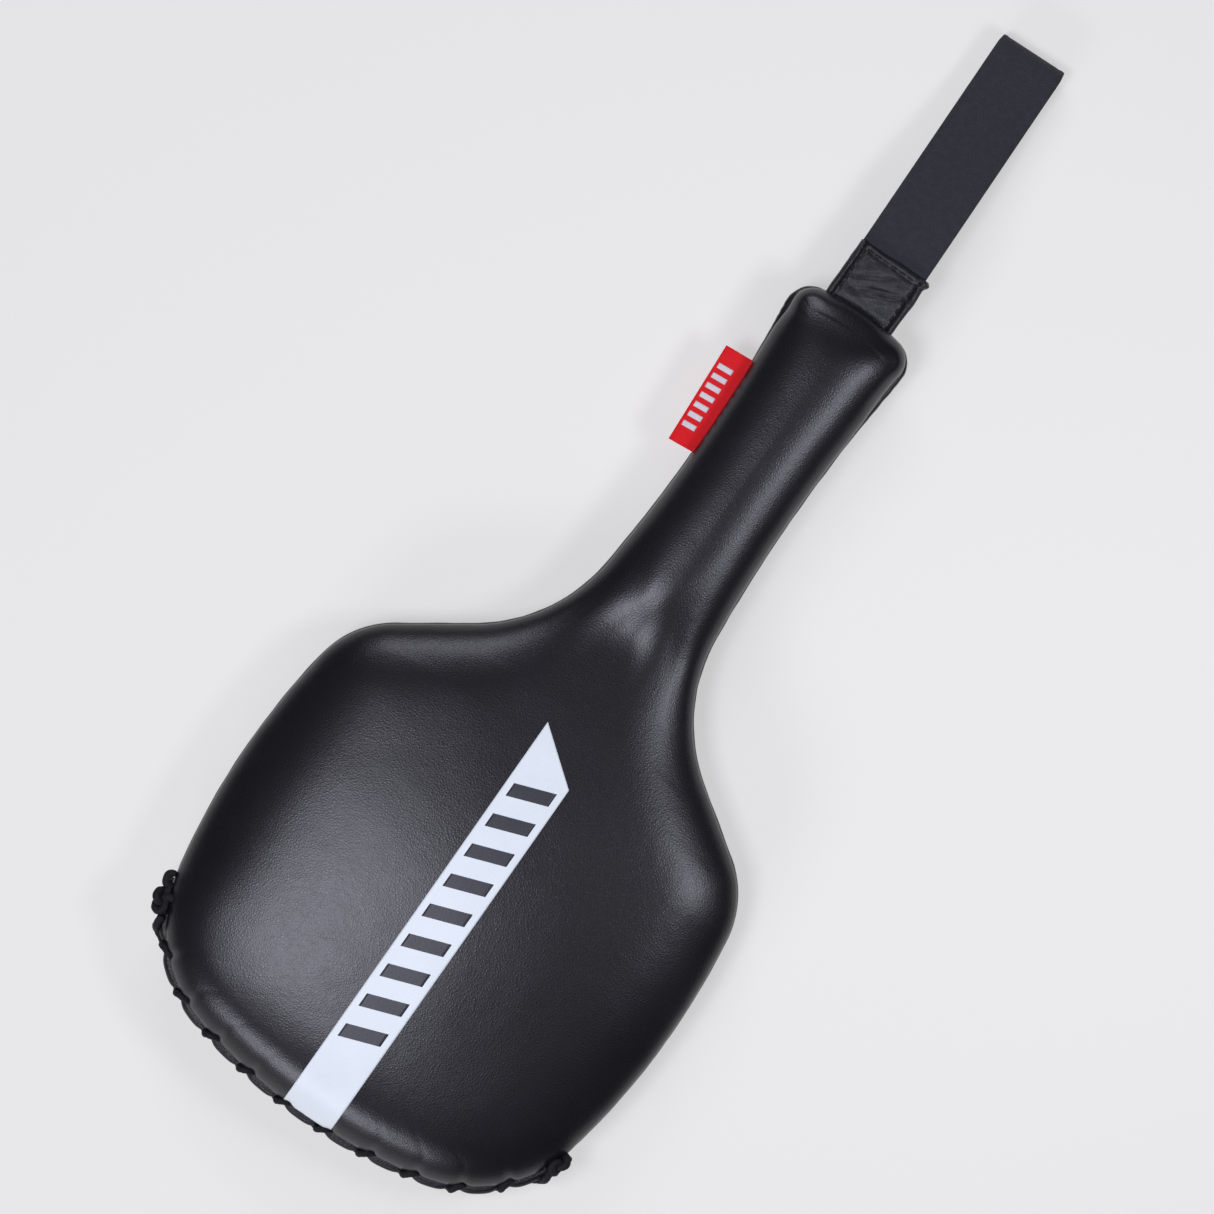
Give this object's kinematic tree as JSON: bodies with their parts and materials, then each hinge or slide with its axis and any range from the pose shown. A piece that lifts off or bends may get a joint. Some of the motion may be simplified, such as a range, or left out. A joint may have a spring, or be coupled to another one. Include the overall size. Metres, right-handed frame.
{
  "type": "kick paddle",
  "caption": "Padded leather striking target on a flat handle, laced closed at its far end, with an elastic wrist loop at the handle.",
  "frame": {"origin": "on the flat back of the paddle, under the middle of the head's widest line", "axes": "+Z out of the printed face, +Y from the head along the handle to the wrist strap, +X to the right seen from the printed side with the handle up"},
  "size_m": [0.2048, 0.5202, 0.0403],
  "materials": {
    "board": "stiff moulded sheet, hidden",
    "dense_foam": "closed-cell foam, hidden",
    "soft_foam": "soft foam, hidden",
    "handle_foam": "foam, hidden",
    "black_leather": "soft black synthetic leather, fine creased grain, satin",
    "hem_leather": "rolled black synthetic leather edge",
    "lace_cord": "black braided cord, matt",
    "patch_leather": "black synthetic leather patch",
    "strap_elastic": "dark blue-grey woven elastic",
    "patch_thread": "black sewing thread",
    "tag_ribbon": "red woven ribbon",
    "tag_thread": "white woven thread",
    "stripe_print": "white print on leather, faint blue",
    "motif_print": "dark print on the white stripe"
  },
  "bodies": {
    "paddle": {"core_board": "board", "front_foam_dense": "dense_foam", "back_foam_dense": "dense_foam", "front_foam_pad": "soft_foam", "back_foam_pad": "soft_foam", "handle_foam_front": "handle_foam", "handle_foam_back": "handle_foam", "front_cover": "black_leather", "back_cover": "black_leather", "front_lace_hem": "hem_leather", "back_lace_hem": "hem_leather", "closure_lace": "lace_cord", "lace_knot_left": "lace_cord", "lace_knot_right": "lace_cord", "strap_anchor_tab": "patch_leather", "tag_root": "tag_ribbon", "face_stripe": "stripe_print", "stripe_motif": "motif_print"},
    "patch": {"strap_root_webbing": "strap_elastic", "strap_patch_front": "patch_leather", "strap_patch_back": "patch_leather", "strap_patch_stitching": "patch_thread"},
    "loop": {"wrist_strap": "strap_elastic"},
    "tag": {"side_tag": "tag_ribbon", "tag_mark": "tag_thread"}
  },
  "joints": [
    {"name": "patch_hinge", "type": "hinge", "parent": "paddle", "child": "patch", "pos_m": [-0.0015, 0.2824, 0.02], "axis": [1, 0, 0], "range_deg": [-60, 60]},
    {"name": "strap_hinge", "type": "hinge", "parent": "patch", "child": "loop", "pos_m": [-0.003, 0.308, 0.02], "axis": [1, 0, 0], "range_deg": [-90, 90]},
    {"name": "tag_flap", "type": "hinge", "parent": "paddle", "child": "tag", "pos_m": [-0.026, 0.2185, 0.02], "axis": [0, 1, 0], "range_deg": [-75, 75]}
  ]
}
